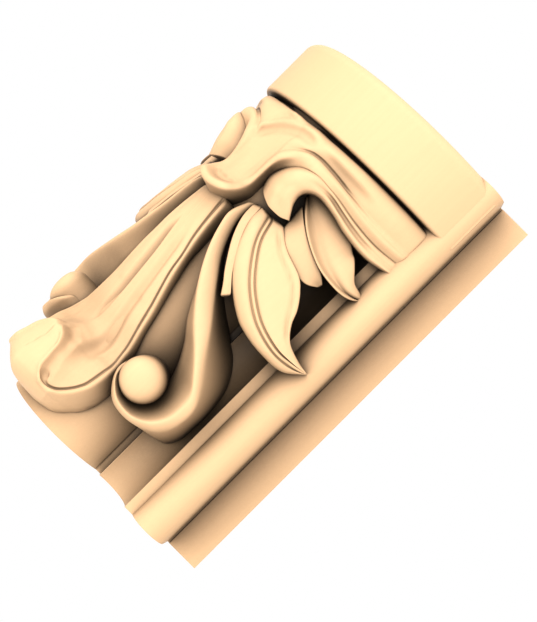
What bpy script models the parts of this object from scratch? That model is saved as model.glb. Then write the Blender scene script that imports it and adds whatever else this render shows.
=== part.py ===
"""A carved corner corbel: acanthus leaves over moulded wings that meet at a right angle.

The corbel is one carved piece of wood. Its two wings are mirror images across the
diagonal plane, so the right half is modelled, joined into one body and mirrored.
"""

import math

import bmesh
import bpy
from mathutils import Matrix, Vector

MM = 0.001

# Driving sizes, in millimetres.
HEIGHT = 240.0
WING_WIDTH = 120.5  # from the meeting line of the two flange faces to a wing's outer edge
WALL = 12.0  # wood behind the flange face
QUIRK_OUTER = 102.4  # the narrow sunk line between flange and bead
QUIRK_INNER = 101.2
QUIRK_DEPTH = 0.7
BEAD_CENTRE = (88.6, 14.4)
BEAD_RADIUS = 10.8
FILLET_FACE = 17.5
FILLET_EDGES = (78.3, 72.7)
COVE_CENTRE = (58.4, 17.5)
COVE_RADII = (14.3, 15.1)
COVE_END = 52.3
STEP_FOOT = (48.7, 0.8)
SHAFT_CENTRE = (22.5, -22.5)
SHAFT_RADIUS = 34.7
BLOCK_CENTRE = (56.3, -56.3)
BLOCK_RADIUS = 88.0
BLOCK_FOOT = 203.0
BLOCK_END = 97.0  # where the block runs out inside the bead
BLOCK_TOP_ROUND = 6.0
BLOCK_FOOT_ROUND = 2.0
BALL_CENTRE = (35.0, 52.0, 24.0)
BALL_RADIUS = 12.0
LEAF_THICKNESS = 5.2  # how far the corner leaf stands off the shaft
CORE_DEPTH = -4.0  # carved bodies run this far behind the flange face, into the wood
PAST_MIDDLE = 3.0  # the half runs this far past the diagonal before it is cut there

LIMEWOOD = (0.89, 0.70, 0.42, 1.0)

SHARP_ANGLE = math.radians(38)

# Facets: steps round the turned stretches and along the carved ones.
BEAD_STEPS = 10
COVE_STEPS = 8
SHAFT_STEPS = 9
BLOCK_STEPS = 18
MANTLE_STEPS = 26
LEAF_STEPS = 16
SCROLL_STEPS = 34
BALL_SEGMENTS = 16


# A guide point is (x, z, out): along the wing from the meeting line of the flange faces,
# up from the foot, and out from the flange face.
def on_wing(x, z, out):
    return Vector((x, -out, z))


# A point on the corner is (across, outward, z): sideways from the diagonal plane towards
# the right wing, outward along the diagonal, and up.
def on_corner(across, outward, z):
    half = math.sqrt(0.5)
    return on_wing((across - outward) * half, z, (across + outward) * half)


def smooth_path(points, count):
    """Points along a smooth curve that passes through the given ones."""
    ends = [points[0] * 2 - points[1], *points, points[-1] * 2 - points[-2]]
    path = []
    for step in range(count):
        place = step * (len(points) - 1) / (count - 1)
        first = min(int(place), len(points) - 2)
        t = place - first
        before, start, end, after = ends[first : first + 4]
        path.append(
            0.5
            * (
                2 * start
                + (end - before) * t
                + (2 * before - 5 * start + 4 * end - after) * t**2
                + (3 * start - before - 3 * end + after) * t**3
            )
        )
    return path


def loft(name, sections):
    """A closed body through sections that each have the same number of points."""
    bm = bmesh.new()
    rings = [[bm.verts.new(point) for point in section] for section in sections]
    for ring, following in zip(rings, rings[1:]):
        for here in range(len(ring)):
            beside = (here + 1) % len(ring)
            bm.faces.new((ring[here], ring[beside], following[beside], following[here]))
    bm.faces.new(rings[0])
    bm.faces.new(rings[-1])
    return finish_body(name, bm)


def finish_body(name, bm):
    bmesh.ops.triangulate(bm, faces=bm.faces)
    bmesh.ops.recalc_face_normals(bm, faces=bm.faces)
    mesh = bpy.data.meshes.new(name)
    bm.to_mesh(mesh)
    bm.free()
    mesh.shade_smooth()
    mesh.set_sharp_from_angle(angle=SHARP_ANGLE)
    return bpy.data.objects.new(name, mesh)


def carve(name, rails, steps, depth=CORE_DEPTH, draft=0.0):
    """A carved strip: its face runs through the rails, its sides go back into the wood."""
    paths = [smooth_path(rail, steps) for rail in rails]
    sections = []
    for face in zip(*paths):
        middle = (face[0] + face[-1]) / 2
        foot_first = face[0].lerp(middle, draft)
        foot_last = face[-1].lerp(middle, draft)
        foot_first.y = -depth
        foot_last.y = -depth
        sections.append([*face, foot_last, foot_first])
    return loft(name, sections)


def wing_rail(*points):
    return [on_wing(*point) for point in points]


def arc(centre, radii, start, end, steps):
    """Plan points on an arc, by its angles in degrees."""
    points = []
    for step in range(steps + 1):
        angle = math.radians(start + (end - start) * step / steps)
        points.append((centre[0] + radii[0] * math.cos(angle), centre[1] + radii[1] * math.sin(angle)))
    return points


def extrude_plan(name, plan, levels):
    """A body whose plan is set back by each level's inset, measured towards the shaft's axis."""
    sections = []
    for height, inset in levels:
        section = []
        for x, out in plan:
            away = Vector((x - BLOCK_CENTRE[0], out - BLOCK_CENTRE[1]))
            if inset and away.length > BLOCK_RADIUS - BLOCK_TOP_ROUND:
                x -= away.x * inset / away.length
                out -= away.y * inset / away.length
            section.append(on_wing(x, height, out))
        sections.append(section)
    return loft(name, sections)


def build_wing():
    """The right wing's mouldings and the round shaft at the corner, from foot to top."""
    bead_start = math.degrees(math.asin((16.3 - BEAD_CENTRE[1]) / BEAD_RADIUS))
    bead_end = math.degrees(math.acos((FILLET_EDGES[0] - BEAD_CENTRE[0]) / BEAD_RADIUS))
    cove_end = -math.degrees(math.acos((COVE_END - COVE_CENTRE[0]) / COVE_RADII[0]))
    shaft_start = math.degrees(math.acos((STEP_FOOT[0] - SHAFT_CENTRE[0]) / SHAFT_RADIUS))
    plan = [
        (WALL, -WALL),
        (WING_WIDTH, -WALL),
        (WING_WIDTH, 0.0),
        (QUIRK_OUTER, 0.0),
        (QUIRK_OUTER, -QUIRK_DEPTH),
        (QUIRK_INNER, -QUIRK_DEPTH),
        *arc(BEAD_CENTRE, (BEAD_RADIUS, BEAD_RADIUS), bead_start, bead_end, BEAD_STEPS),
        (FILLET_EDGES[0], FILLET_FACE),
        *arc(COVE_CENTRE, COVE_RADII, 0.0, cove_end, COVE_STEPS),
        STEP_FOOT,
        *arc(SHAFT_CENTRE, (SHAFT_RADIUS, SHAFT_RADIUS), shaft_start, 150.0, SHAFT_STEPS),
        (WALL, -WALL - 2 * PAST_MIDDLE),
    ]
    return extrude_plan("wing", plan, [(0.0, 0.0), (HEIGHT, 0.0)])


def build_block():
    """The plain round block along the top, with rounded edges."""
    end_angle = math.degrees(math.acos((BLOCK_END - BLOCK_CENTRE[0]) / BLOCK_RADIUS))
    face = arc(BLOCK_CENTRE, (BLOCK_RADIUS, BLOCK_RADIUS), end_angle, 140.0, BLOCK_STEPS)
    plan = [*face, (0.0, -WALL), (2 * WALL, -WALL / 2), (BLOCK_END, 0.0)]
    levels = []
    for step in range(3):
        turn = math.radians(45 * step)
        rise = BLOCK_FOOT_ROUND * (1 - math.cos(turn))
        levels.append((BLOCK_FOOT + rise, BLOCK_FOOT_ROUND * (1 - math.sin(turn))))
    for step in range(5):
        turn = math.radians(22.5 * step)
        drop = BLOCK_TOP_ROUND * (1 - math.sin(turn))
        levels.append((HEIGHT - drop, BLOCK_TOP_ROUND * (1 - math.cos(turn))))
    return extrude_plan("block", plan, levels)


def build_mantle():
    """The leaf drapery under the block: a broad swell, a crest and the overturned hood."""
    top = wing_rail(
        (85, 204, 21), (69.5, 204, 24), (54.5, 204, 25.5), (37.5, 204, 25), (22.5, 204, 21),
        (9, 204, 14.5), (2.5, 204, 10), (-0.5, 204, 8),
    ) + [on_corner(0, 4, 204), on_corner(-PAST_MIDDLE, 4, 204)]
    roll = wing_rail(
        (85, 198, 23.5), (69.5, 198, 26.5), (54.5, 198, 28.5), (37.5, 198, 27.5), (22.5, 198.5, 23.5),
        (9, 198, 17), (2.5, 197.5, 12.5), (-0.5, 197.5, 10),
    ) + [on_corner(0, 7, 197.5), on_corner(-PAST_MIDDLE, 7, 197.5)]
    valley = wing_rail(
        (85, 193, 23.5), (69.5, 192.5, 26), (54.5, 192, 27), (37.5, 192, 27), (22.5, 193, 23.5),
        (9, 193, 17), (2.5, 192, 13), (-1, 191, 10),
    ) + [on_corner(0, 7.5, 190), on_corner(-PAST_MIDDLE, 7.5, 190)]
    slope = wing_rail(
        (85, 189, 23.5), (69.5, 189, 26.5), (54.5, 189, 27.5), (37.5, 190, 27.5), (22.5, 191.5, 24.5),
        (8, 190, 17.5), (0, 184, 14), (-3, 175, 12),
    ) + [on_corner(0, 10.5, 168), on_corner(-PAST_MIDDLE, 10.5, 168)]
    foot = wing_rail(
        (85, 187, 23.5), (69, 187, 26.5), (54.5, 187, 28), (37.5, 189, 28.5), (22.5, 190.5, 26.5),
        (8.5, 188, 20), (0, 176, 16.5), (-2, 161.5, 13.5),
    ) + [on_corner(0, 16, 152), on_corner(-PAST_MIDDLE, 16, 152)]
    crest = wing_rail(
        (85, 184.5, 24), (69, 185, 27), (54.5, 185, 29.5), (37.5, 187.5, 31), (23, 188.5, 30),
        (9.5, 186.5, 23.5), (1.5, 174.5, 19), (0, 161, 16),
    ) + [on_corner(0, 23.5, 144.5), on_corner(-PAST_MIDDLE, 23.5, 144.5)]
    crest.insert(8, on_wing(-4, 149.5, 21.5))
    under = wing_rail(
        (85, 182, 22), (69.5, 181, 24), (54.5, 182, 26), (37.5, 185, 27), (22.5, 186, 26),
        (11, 181.5, 20.5), (5, 171.5, 16), (4, 159, 12.5),
    ) + [on_corner(0, 19.5, 139.5), on_corner(-PAST_MIDDLE, 19.5, 139.5)]
    under.insert(8, on_wing(1.5, 144, 14.5))
    edge = wing_rail(
        (85, 179, 21), (69.5, 178.5, 23), (54.5, 179.5, 24.5), (37.5, 181.5, 25.5), (22.5, 182.5, 24.5),
        (13, 177.5, 19.5), (7.5, 168, 13.5), (7, 158.5, 11),
    ) + [on_corner(0, 10, 138.5), on_corner(-PAST_MIDDLE, 10, 138.5)]
    edge.insert(8, on_wing(4.5, 144.5, 10))
    top.insert(8, on_wing(-2, 204, 6.5))
    roll.insert(8, on_wing(-2.5, 197.5, 8.5))
    valley.insert(8, on_wing(-4, 190, 8))
    slope.insert(8, on_wing(-5, 168, 11.5))
    foot.insert(8, on_wing(-4.5, 152, 16.5))
    return carve("mantle", [top, roll, valley, slope, foot, crest, under, edge], MANTLE_STEPS)


def build_beak():
    """The second fold of the mantle, which turns down into a rounded beak."""
    outer = wing_rail(
        (85, 179.5, 20.5), (69.5, 179, 22.5), (54.5, 179.5, 24), (40, 181.5, 25.5), (25, 183, 25.5),
        (13.5, 179, 20.5), (8, 170.5, 15.5), (7.5, 163.5, 14.5), (11.5, 157, 19),
    )
    hollow = wing_rail(
        (85, 177.5, 22), (69.5, 177, 23.5), (54.5, 177.5, 24.5), (40, 180, 25.5), (26, 180.5, 27),
        (16.5, 175, 25.5), (12.5, 168, 23.5), (12.5, 161.5, 23), (15.5, 155, 24),
    )
    crest = wing_rail(
        (85, 175, 23), (69.5, 174, 25), (54.5, 175.5, 26.5), (40, 177.5, 27.5), (28, 177.5, 28.5),
        (21, 172, 29), (19.5, 165, 29), (20, 159.5, 28.5), (21, 153.5, 26.5),
    )
    inner = wing_rail(
        (85, 173, 20.5), (69.5, 171, 22.5), (54.5, 172, 23.5), (40, 175, 24.5), (30.5, 175, 24.5),
        (26, 170.5, 24.5), (28.5, 164.5, 26), (31.5, 158.5, 26.5), (30, 155, 26),
    )
    return carve("beak", [outer, hollow, crest, inner], MANTLE_STEPS)


def build_side_leaves():
    """The leaves that spring from under the beak and end over the bead."""
    long_upper = wing_rail(
        (30, 154.5, 22.5), (40, 147, 27.5), (53, 142, 30.5), (59.5, 136.5, 31.5), (64.5, 129.5, 32),
        (67.5, 122.5, 32.5), (73, 116, 33), (81.5, 112.5, 31.5), (90, 110.7, 29),
    )
    long_vein = wing_rail(
        (23, 152.5, 21.5), (26, 141.5, 25.5), (31.5, 132.5, 28.5), (40, 122.5, 31.5),
        (50.5, 114.5, 33.5), (60, 110, 35), (71.5, 107.5, 35.5), (81, 108.5, 33.5), (90.2, 110.5, 29),
    )
    long_lower = wing_rail(
        (15.5, 154, 19.5), (16, 144, 23), (22, 128.5, 26), (32, 116, 28.5), (45, 106.5, 30.5),
        (54.5, 103, 32), (66.5, 101.5, 33.5), (80, 102.5, 32), (90, 110.3, 29),
    )
    short_upper = wing_rail(
        (27, 179, 17.5), (39.5, 180, 19.5), (54.5, 176.5, 21), (63, 169.5, 22.5), (66.5, 167.5, 23.5),
        (70.5, 163.5, 24.5), (75, 159, 24.5), (80, 157.5, 23), (85, 156, 20.5),
    )
    short_lower = wing_rail(
        (28, 171.5, 18.5), (33, 165.5, 23.5), (40, 159.5, 26.5), (48.5, 154.5, 28.5), (57, 151, 29.5),
        (65.5, 149.5, 29.5), (74, 149.5, 28), (80, 151.5, 25), (85, 155.5, 20.5),
    )
    lobe_upper = wing_rail(
        (29, 166.5, 17.5), (37, 159, 20.5), (45.5, 154, 23), (54.5, 151, 25), (59.5, 149, 26),
        (63.5, 146.2, 25.5),
    )
    lobe_lower = wing_rail(
        (30.5, 154.5, 21.5), (37, 149, 24.5), (45, 144, 26), (51.5, 142, 27), (58.5, 142, 27),
        (63.5, 145.8, 25.5),
    )
    strip_upper = wing_rail(
        (16, 154, 18.5), (16.5, 146.5, 21), (18, 140, 22.5), (21, 133, 24.5), (25.5, 125.5, 26),
        (29.5, 119.5, 27), (33, 115.5, 28), (36.5, 111.5, 28.5),
    )
    strip_lower = wing_rail(
        (11.5, 152, 17), (12, 144, 20), (14, 137, 21.5), (17, 130.5, 23), (21, 124, 24.5),
        (25, 118, 25.5), (29, 113, 26.5), (33, 107, 27),
    )
    return [
        carve("long_leaf", [long_upper, long_vein, long_lower], LEAF_STEPS, draft=0.3),
        carve("short_leaf", [short_upper, short_lower], LEAF_STEPS, draft=0.3),
        carve("lobe", [lobe_upper, lobe_lower], LEAF_STEPS // 2, draft=0.2),
        carve("strip", [strip_upper, strip_lower], LEAF_STEPS // 2, draft=0.2),
    ]


def build_scroll():
    """The S-shaped scroll that curls under the ball."""
    cove = wing_rail(
        (11, 151, 10), (8, 141, 12), (9.5, 132, 14), (13, 121.5, 16), (17, 111.5, 18), (22, 99.5, 20),
        (28.5, 87.5, 23), (35, 79, 23.5), (40, 70, 23.5),
        (43, 62, 23.5), (44, 54, 23.5), (43, 48, 23.5), (40, 45, 23.5), (37.5, 44, 23.5),
        (34, 44, 23.5), (31, 46, 23.5), (29, 49, 23.5), (28, 51, 23.5),
    )
    inner = wing_rail(
        (9, 151, 15.5), (5.5, 141, 20), (7, 132, 22), (10.5, 121.5, 23.5), (15.5, 111.5, 25.5),
        (23, 100.5, 28), (32.5, 89.5, 31), (42.5, 80, 34), (50.5, 71.5, 36.5),
        (56, 64, 37), (57, 55.5, 36.5), (56, 48, 36), (51, 40.5, 35), (43, 36.5, 33.5), (34, 37, 33),
        (28, 40.5, 32), (25, 44.5, 31.5), (25, 48.5, 30.5),
    )
    outer = wing_rail(
        (13.5, 154, 14), (12, 142, 18), (14.5, 132, 19.5), (19, 122, 21), (25, 114, 23), (33, 104, 25),
        (41.5, 94.5, 28), (50.5, 82, 30.5), (58.5, 71.5, 32.5),
        (63, 62, 33), (63.5, 53.5, 32.5), (61, 43.5, 31.5), (54.5, 36.5, 30.5), (43, 32.5, 29.5),
        (32, 34, 29), (25, 40.5, 28.5), (21.5, 47.5, 28), (21.5, 53.5, 27.5),
    )
    foot = wing_rail(
        (14, 154, 4), (13, 143, 4), (16.5, 133, 4), (21.5, 124, 4), (28, 116.5, 4), (37, 108, 4),
        (47, 99, 4), (60.5, 89, 3), (68.5, 77, 5),
        (71, 64, 6), (71, 53, 6), (70, 41, 5), (63.5, 33.5, 3), (45, 31, 0), (33, 33.5, 0), (27, 41, 0),
        (25, 48, 0), (25, 53, 0),
    )
    return carve("scroll", [cove, inner, outer, foot], SCROLL_STEPS)


def build_ball():
    bm = bmesh.new()
    bmesh.ops.create_uvsphere(bm, u_segments=BALL_SEGMENTS, v_segments=BALL_SEGMENTS // 2, radius=BALL_RADIUS)
    bmesh.ops.translate(bm, verts=bm.verts, vec=on_wing(*BALL_CENTRE))
    return finish_body("ball", bm)


def on_shaft(across, z, proud=0.0):
    axis = (SHAFT_CENTRE[1] - SHAFT_CENTRE[0]) * math.sqrt(0.5)
    return on_corner(across, axis + math.sqrt((SHAFT_RADIUS + proud) ** 2 - across**2), z)


def build_corner_leaf():
    """The long leaf down the corner: it wraps the shaft, and its tip rolls outward."""
    # Down the leaf: z, foot across, rim (across, outward), inner edge of the dish
    # (across, outward), and how far out the middle stands.
    levels = [
        (145, 12, (10, 8), (1.5, 8), 8),
        (121, 12.5, (13.5, 8.5), (1.5, 8), 8),
        (99, 15.5, (17, 6), (1.5, 8), 8),
        (78.5, 20, (21, 1.5), (1.5, 8), 8),
        (68, 22, (23, 0), (1.5, 8.2), 8.2),
        (58, 25, (25.5, -1.5), (1.5, 9.2), 9.3),
        (50.5, 27, (27.5, -1), (1.5, 12), 12.5),
        (45, 28, (29.5, 0), (1.5, 16), 17),
        (42, 29, (30.2, 0.7), (2, 20.6), 20.8),
        (39, 29.5, (30.7, 1.4), (7, 21.4), 22.8),
        (33, 30.5, (30.7, 3), (12, 21.7), 23.4),
        (27, 30.3, (29.4, 5.1), (13.8, 22.5), 25.2),
        (22, 29.7, (27.7, 8), (15.4, 23.2), 26.4),
        (18.3, 28.8, (25.9, 11.1), (17.3, 21.8), 27),
        (16, 28, (23.7, 14.4), (19, 20), 27.2),
        (14.5, 27.3, (23, 14.3), (17.5, 20), 27.2),
        (10, 23.5, (19.5, 10.5), (14.5, 16.5), 24.5),
        (7, 19.5, (15.5, 7), (11, 11), 18),
        (4.5, 9, (7, 3.5), (5, 4), 5),
    ]
    sections = []
    for z, foot, rim, inner, middle in levels:
        groove = (rim[0] * 0.85 + inner[0] * 0.15, rim[1] * 0.85 + inner[1] * 0.15)
        hollow = ((rim[0] + inner[0]) / 2, (rim[1] + inner[1]) / 2)
        swell = (rim[0] - inner[0]) ** 2 / (8 * (SHAFT_RADIUS + LEAF_THICKNESS)) if z > 45 else 0.0
        sunk = min(1.2, max(0.0, (z - 14.5) * 0.4))
        dish = sunk * 2.2 if z < 45 else sunk
        sections.append(
            [
                on_corner(8, -8, z),
                on_shaft(foot, z, -1.0),
                on_corner(*rim, z),
                on_corner(groove[0], groove[1] + swell / 2 - sunk, z),
                on_corner(hollow[0], hollow[1] + swell - dish, z),
                on_corner(*inner, z),
                on_corner(inner[0] / 2, (inner[1] + middle) / 2 + inner[0] * 0.05, z),
                on_corner(0, middle, z),
                on_corner(-PAST_MIDDLE, middle, z),
                on_corner(-PAST_MIDDLE, -8, z),
            ]
        )
    return loft("corner_leaf", sections)


def clear_scene():
    for obj in list(bpy.data.objects):
        bpy.data.objects.remove(obj, do_unlink=True)


def new_collection(name):
    collection = bpy.data.collections.new(name)
    bpy.context.scene.collection.children.link(collection)
    return collection


def wood_material():
    material = bpy.data.materials.new("limewood")
    material.use_nodes = True
    shader = material.node_tree.nodes["Principled BSDF"]
    shader.inputs["Base Color"].default_value = LIMEWOOD
    shader.inputs["Roughness"].default_value = 0.6
    return material


def build_corbel():
    clear_scene()
    parts = new_collection("acanthus_corbel")
    bodies = new_collection("carved_bodies")
    carved = [
        build_block(),
        build_mantle(),
        build_beak(),
        *build_side_leaves(),
        build_scroll(),
        build_ball(),
        build_corner_leaf(),
    ]
    for body in carved:
        body.hide_render = True
        body.display_type = "WIRE"
        bodies.objects.link(body)

    diagonal = bpy.data.objects.new("diagonal", None)
    diagonal.rotation_euler.z = math.radians(-45)
    parts.objects.link(diagonal)

    corbel = build_wing()
    corbel.name = "corbel"
    corbel.data.materials.append(wood_material())
    parts.objects.link(corbel)

    join = corbel.modifiers.new("carving", "BOOLEAN")
    join.operation = "UNION"
    join.solver = "EXACT"
    join.operand_type = "COLLECTION"
    join.collection = bodies

    halves = corbel.modifiers.new("other_half", "MIRROR")
    halves.mirror_object = diagonal
    halves.use_bisect_axis[0] = True
    halves.bisect_threshold = 1e-6
    halves.merge_threshold = 1e-5

    back_middle = Vector(((WALL + WING_WIDTH) / 2, WALL, HEIGHT / 2))
    place = Matrix.Scale(MM, 4) @ Matrix.Translation(-back_middle)
    for obj in [corbel, *carved]:
        obj.data.transform(place)
    diagonal.location = place @ Vector((0.0, 0.0, 0.0))


build_corbel()
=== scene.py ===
import math

import bmesh
import bpy
import numpy as np
from mathutils import Matrix, Vector


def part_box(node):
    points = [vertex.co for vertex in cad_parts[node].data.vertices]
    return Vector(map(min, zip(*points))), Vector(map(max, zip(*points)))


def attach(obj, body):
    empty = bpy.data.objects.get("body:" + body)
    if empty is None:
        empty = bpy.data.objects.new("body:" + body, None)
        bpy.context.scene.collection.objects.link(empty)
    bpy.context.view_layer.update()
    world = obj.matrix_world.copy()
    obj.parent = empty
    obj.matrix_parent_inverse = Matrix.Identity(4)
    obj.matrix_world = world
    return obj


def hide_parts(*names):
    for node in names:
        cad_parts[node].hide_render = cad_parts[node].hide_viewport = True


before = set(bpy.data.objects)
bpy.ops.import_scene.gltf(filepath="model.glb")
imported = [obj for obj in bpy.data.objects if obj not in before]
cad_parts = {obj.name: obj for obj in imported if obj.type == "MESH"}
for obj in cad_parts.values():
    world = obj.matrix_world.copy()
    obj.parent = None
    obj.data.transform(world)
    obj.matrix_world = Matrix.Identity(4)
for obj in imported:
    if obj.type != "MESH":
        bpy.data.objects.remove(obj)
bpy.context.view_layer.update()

mm = 0.001

# The corner that the wings turn round. Carving places are (x, z, out) in millimetres:
# along the right wing from the line where the flange faces meet, up, and out from the face.
body = {"height": 240.0, "wing": 120.5, "wall": 12.0, "shaft": (22.5, -22.5), "shaftRadius": 34.7, "core": -4.0}
nodeLow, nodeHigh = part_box("corbel")
cornerX = nodeHigh[0] / mm - body["wing"]
cornerY = -body["wall"]
footZ = nodeLow[2] / mm
half = math.sqrt(0.5)


def onWing(x, z, out):
    return Vector(((cornerX + x) * mm, (cornerY - out) * mm, (footZ + z) * mm))


def onCorner(across, outward, z):  # sideways from the diagonal plane, outward along it, up
    return onWing((across - outward) * half, z, (across + outward) * half)


def onShaft(across, z, proud=0.0):
    axis = (body["shaft"][1] - body["shaft"][0]) * half
    return onCorner(across, axis + math.sqrt((body["shaftRadius"] + proud) ** 2 - across**2), z)


towardsViewer = Vector((0, -1, 0))
alongCorner = Vector((-half, -half, 0))
cornerReach = 20.0


def proud(point, lift):  # a point raised off the wing, or off the corner near the diagonal plane
    across = ((point.x / mm - cornerX) + (cornerY - point.y / mm)) * half
    share = min(1.0, abs(across) / cornerReach)
    return point + (towardsViewer * share + alongCorner * (1 - share)).normalized() * lift * mm


def smoothPath(points, count, beyond=None):  # a smooth curve through the points, sampled evenly by point
    ends = [points[0] * 2 - points[1], *points, beyond or points[-1] * 2 - points[-2]]
    path = []
    for step in range(count):
        place = step * (len(points) - 1) / (count - 1)
        first = min(int(place), len(points) - 2)
        t = place - first
        before, start, end, after = ends[first : first + 4]
        bend = 2 * before - 5 * start + 4 * end - after
        twist = 3 * start - before - 3 * end + after
        path.append(0.5 * (2 * start + (end - before) * t + bend * t**2 + twist * t**3))
    return path


def otherWing(x, z, out):  # the matching place on the left wing
    return onWing(-out, z, -x)


def rail(points, count, middle=None):  # a carved line, which may cross the corner square to the diagonal plane
    path = [onWing(*p) for p in points]
    if middle:
        return smoothPath(path + [onCorner(0, *middle)], count, otherWing(*points[-1]))
    return smoothPath(path, count)


def between(railA, railB, share, lift=0.0):  # a line between two others, raised or sunk, fading where they meet
    line = []
    for a, b in zip(railA, railB):
        fade = min(1.0, (b - a).length / (3.5 * mm))
        line.append(proud(a.lerp(b, share), lift * fade))
    return line


def beside(railA, railB, distance, lift=0.0):  # a line a few millimetres in from A towards B
    line = []
    for a, b in zip(railA, railB):
        gap = (b - a).length / mm
        near = min(distance, gap * 0.3)
        line.append(proud(a.lerp(b, near / gap if gap > 1e-6 else 0.0), lift * near / distance))
    return line


def sunk(path, out, towards=None, draft=0.0):  # the foot of a carved side, back in the wood
    foot = []
    for index, point in enumerate(path):
        place = point.lerp(towards[index], draft) if towards else point.copy()
        place.y = (cornerY - out) * mm
        foot.append(place)
    return foot


def cage(name, rails, capEnd=True):  # a closed strip through the rails, one ring a station
    bm = bmesh.new()
    rings = [[bm.verts.new(point) for point in station] for station in zip(*rails)]
    for ring, following in zip(rings, rings[1:]):
        for here in range(len(ring)):
            beyond = (here + 1) % len(ring)
            bm.faces.new((ring[here], ring[beyond], following[beyond], following[here]))
    bm.faces.new(rings[0])
    if capEnd:
        bm.faces.new(rings[-1])
    bmesh.ops.recalc_face_normals(bm, faces=bm.faces)
    mesh = bpy.data.meshes.new(name)
    bm.to_mesh(mesh)
    bm.free()
    mesh.shade_smooth()
    piece = bpy.data.objects.new(name, mesh)
    bpy.context.scene.collection.objects.link(piece)
    return piece


def bowed(railA, pull, railB, share):  # a line part of the way from A to B along arches pulled towards a third
    keep = 1 - share
    return [a * keep**2 + p * 2 * keep * share + b * share**2 for a, p, b in zip(railA, pull, railB)]


diagonal = bpy.data.objects.new("diagonal_plane", None)
diagonal.location = onWing(0, 0, 0)
diagonal.rotation_euler.z = math.radians(-45)
bpy.context.scene.collection.objects.link(diagonal)


# Cuts a line into a mesh. A depth below nought makes a ridge.
def carveLine(
    mesh, points, width, depth, leftWidth=None, plane="wing", bothWings=True, taper=4.0, count=60
):
    size = len(mesh.vertices)
    places, normals = np.empty(size * 3), np.empty(size * 3)
    mesh.vertices.foreach_get("co", places)
    mesh.vertices.foreach_get("normal", normals)
    places, normals = places.reshape(-1, 3), normals.reshape(-1, 3)
    x = places[:, 0] / mm - cornerX
    out = cornerY - places[:, 1] / mm
    z = places[:, 2] / mm - footZ
    across = (x + out) * half
    if bothWings:
        across = np.abs(across)
    side = across
    if plane != "corner":  # then it is x, folded on to the right wing
        side = (across - (out - x) * half) * half
    line = smoothPath([Vector((p[0], p[1], 0)) for p in points], count)
    nearest, along, handed = np.full(size, 1e9), np.zeros(size), np.zeros(size)
    run = 0.0
    for a, b in zip(line, line[1:]):
        step = (b - a).length
        dx, dz = (b.x - a.x) / step, (b.y - a.y) / step
        t = np.clip((side - a.x) * dx + (z - a.y) * dz, 0.0, step)
        gap = np.hypot(side - a.x - dx * t, z - a.y - dz * t)
        closer = gap < nearest
        nearest[closer] = gap[closer]
        along[closer] = run + t[closer]
        handed[closer] = ((side - a.x) * dz - (z - a.y) * dx)[closer]
        run += step
    reach = np.where(handed < 0, leftWidth or width, width)
    profile = np.cos(np.minimum(nearest / reach, 1.0) * math.pi / 2) ** 2
    ends = np.clip(np.minimum(along, run - along) / taper, 0.0, 1.0)
    move = -depth * mm * profile * ends * ends * (3 - 2 * ends)
    mesh.vertices.foreach_set("co", (places + normals * move[:, None]).ravel())
    mesh.update()


# The grid's step and the faded edge, in millimetres, and how squarely a face has to look outwards.
evening = {"cell": 0.4, "edge": 3.0, "facing": 0.2}


# Blurs the carving near the corner, out to a distance across, between two heights.
def evenOut(mesh, across, low, high, blur):
    places = np.empty(len(mesh.vertices) * 3)
    normals = np.empty(len(mesh.vertices) * 3)
    mesh.vertices.foreach_get("co", places)
    mesh.vertices.foreach_get("normal", normals)
    places = places.reshape(-1, 3)
    normals = normals.reshape(-1, 3)
    x = places[:, 0] / mm - cornerX
    out = cornerY - places[:, 1] / mm
    z = places[:, 2] / mm - footZ
    side = (x + out) * half
    ahead = (out - x) * half
    cell, edge = evening["cell"], evening["edge"]
    margin = 3 * blur
    outwards = -(normals[:, 0] + normals[:, 1]) * half
    front = (outwards > evening["facing"]) & (np.abs(side) < across + margin)
    front &= (z > low - margin) & (z < high + margin)
    column = ((side + across + margin) / cell)[front]
    row = ((z - low + margin) / cell)[front]
    shape = (int(2 * (across + margin) / cell) + 3, int((high - low + 2 * margin) / cell) + 3)
    total, number = np.zeros(shape), np.zeros(shape)
    np.add.at(total, (column.astype(int), row.astype(int)), ahead[front])
    np.add.at(number, (column.astype(int), row.astype(int)), 1)
    heights = np.where(number > 0, total / np.maximum(number, 1), 0)
    reach = np.arange(-int(margin / cell), int(margin / cell) + 1)
    bell = np.exp(-0.5 * (reach * cell / blur) ** 2)

    def blurred(grid):
        grid = np.apply_along_axis(np.convolve, 0, grid, bell, "same")
        return np.apply_along_axis(np.convolve, 1, grid, bell, "same")

    even = blurred(heights) / np.maximum(blurred((number > 0) * 1.0), 1e-6)
    column, row = column - 0.5, row - 0.5
    i, j = np.clip(column.astype(int), 0, shape[0] - 2), np.clip(row.astype(int), 0, shape[1] - 2)
    s, t = column - i, row - j
    lower = even[i, j] * (1 - s) + even[i + 1, j] * s
    upper = even[i, j + 1] * (1 - s) + even[i + 1, j + 1] * s
    level = lower * (1 - t) + upper * t
    fade = np.clip((across - np.abs(side[front])) / edge, 0, 1)
    fade = fade * np.clip((z[front] - low) / edge, 0, 1) * np.clip((high - z[front]) / edge, 0, 1)
    move = (level - ahead[front]) * fade * fade * (3 - 2 * fade) * half * mm
    places[front, 0] -= move
    places[front, 1] -= move
    mesh.vertices.foreach_set("co", places.ravel())
    mesh.update()


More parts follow.
